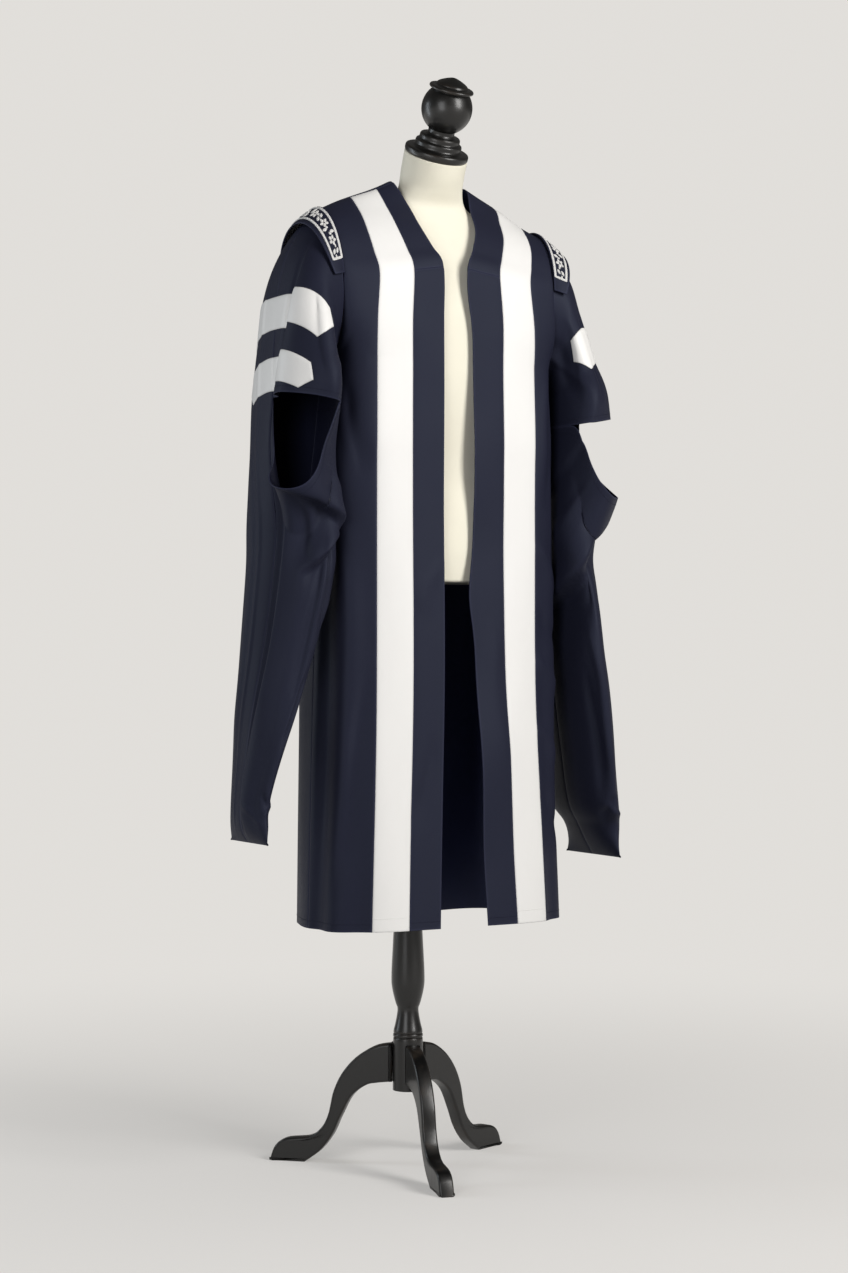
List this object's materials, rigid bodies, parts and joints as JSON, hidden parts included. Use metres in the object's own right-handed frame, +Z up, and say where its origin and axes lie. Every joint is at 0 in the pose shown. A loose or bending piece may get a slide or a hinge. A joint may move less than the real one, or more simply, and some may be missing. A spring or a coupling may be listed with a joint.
{
  "type": "graduation gown on a tripod dress form",
  "caption": "Open-front academic gown with white front stripes, shoulder wings and long hanging slit sleeves, shown on a limbless cream dress form with a turned black wooden tripod stand.",
  "frame": {"origin": "middle of the bounding box at floor level, under the stand", "axes": "+Z up, -Y the front of the gown, -X the wearer's right"},
  "size_m": [0.6786, 0.4024, 1.7605],
  "materials": {
    "navy_cloth": "matt twill, navy",
    "white_satin": "satin, off-white",
    "white_braid": "flat woven braid, white",
    "cream_jersey": "smooth jersey, cream",
    "black_wood": "satin black paint"
  },
  "bodies": {
    "root": {"back": "navy_cloth", "front_right": "navy_cloth", "front_left": "navy_cloth", "facing_right": "navy_cloth", "facing_left": "navy_cloth", "collar_right": "navy_cloth", "collar_left": "navy_cloth", "sleeve_top_right": "navy_cloth", "sleeve_top_left": "navy_cloth", "sleeve_low_right": "navy_cloth", "sleeve_low_left": "navy_cloth", "sleeve_back_top_right": "navy_cloth", "sleeve_back_low_right": "navy_cloth", "sleeve_back_top_left": "navy_cloth", "sleeve_back_low_left": "navy_cloth", "wing_right": "navy_cloth", "wing_left": "navy_cloth", "stripe_right": "white_satin", "stripe_left": "white_satin", "bar_upper_right": "white_satin", "bar_upper_left": "white_satin", "bar_lower_right": "white_satin", "bar_lower_left": "white_satin", "braid_right": "white_braid", "braid_left": "white_braid", "torso": "cream_jersey", "neck_cap": "black_wood", "finial": "black_wood", "pole": "black_wood", "leg_left": "black_wood", "leg_front": "black_wood", "leg_back": "black_wood"}
  },
  "joints": []
}
